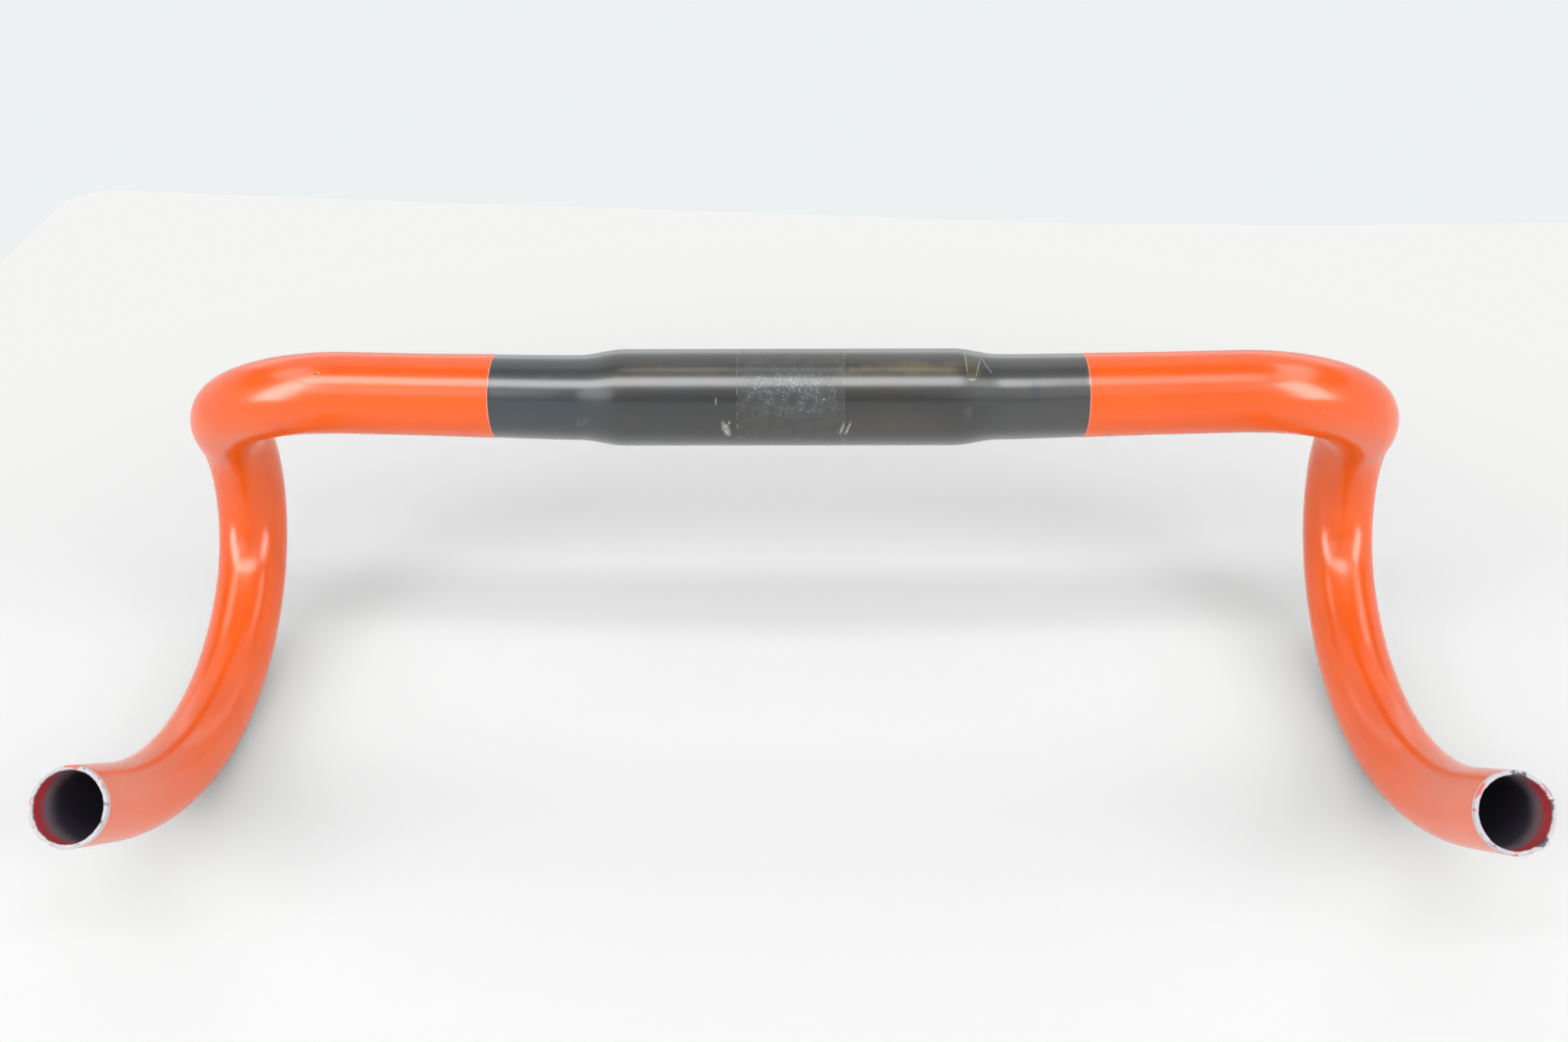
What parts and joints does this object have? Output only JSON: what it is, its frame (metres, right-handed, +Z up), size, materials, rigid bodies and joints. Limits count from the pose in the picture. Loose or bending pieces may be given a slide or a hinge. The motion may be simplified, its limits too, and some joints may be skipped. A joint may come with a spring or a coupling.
{
  "type": "drop handlebar",
  "caption": "One-piece carbon drop handlebar with a thick stem clamp area, round tops, forward-bent corners, curved hooks and open bar ends.",
  "frame": {"origin": "centre of the stem clamp area, on the axis of the tube", "axes": "+X along the stem clamp to the rider's right, +Y away from the rider, +Z up. The bar is rolled 45 degrees forward about the clamp from level drops, as it stands in the picture."},
  "size_m": [0.437, 0.1803, 0.1337],
  "materials": {
    "painted_laminate": "satin orange paint over carbon laminate, bare clear-coated black in the middle"
  },
  "bodies": {
    "root": {"handlebar": "painted_laminate"}
  },
  "joints": []
}
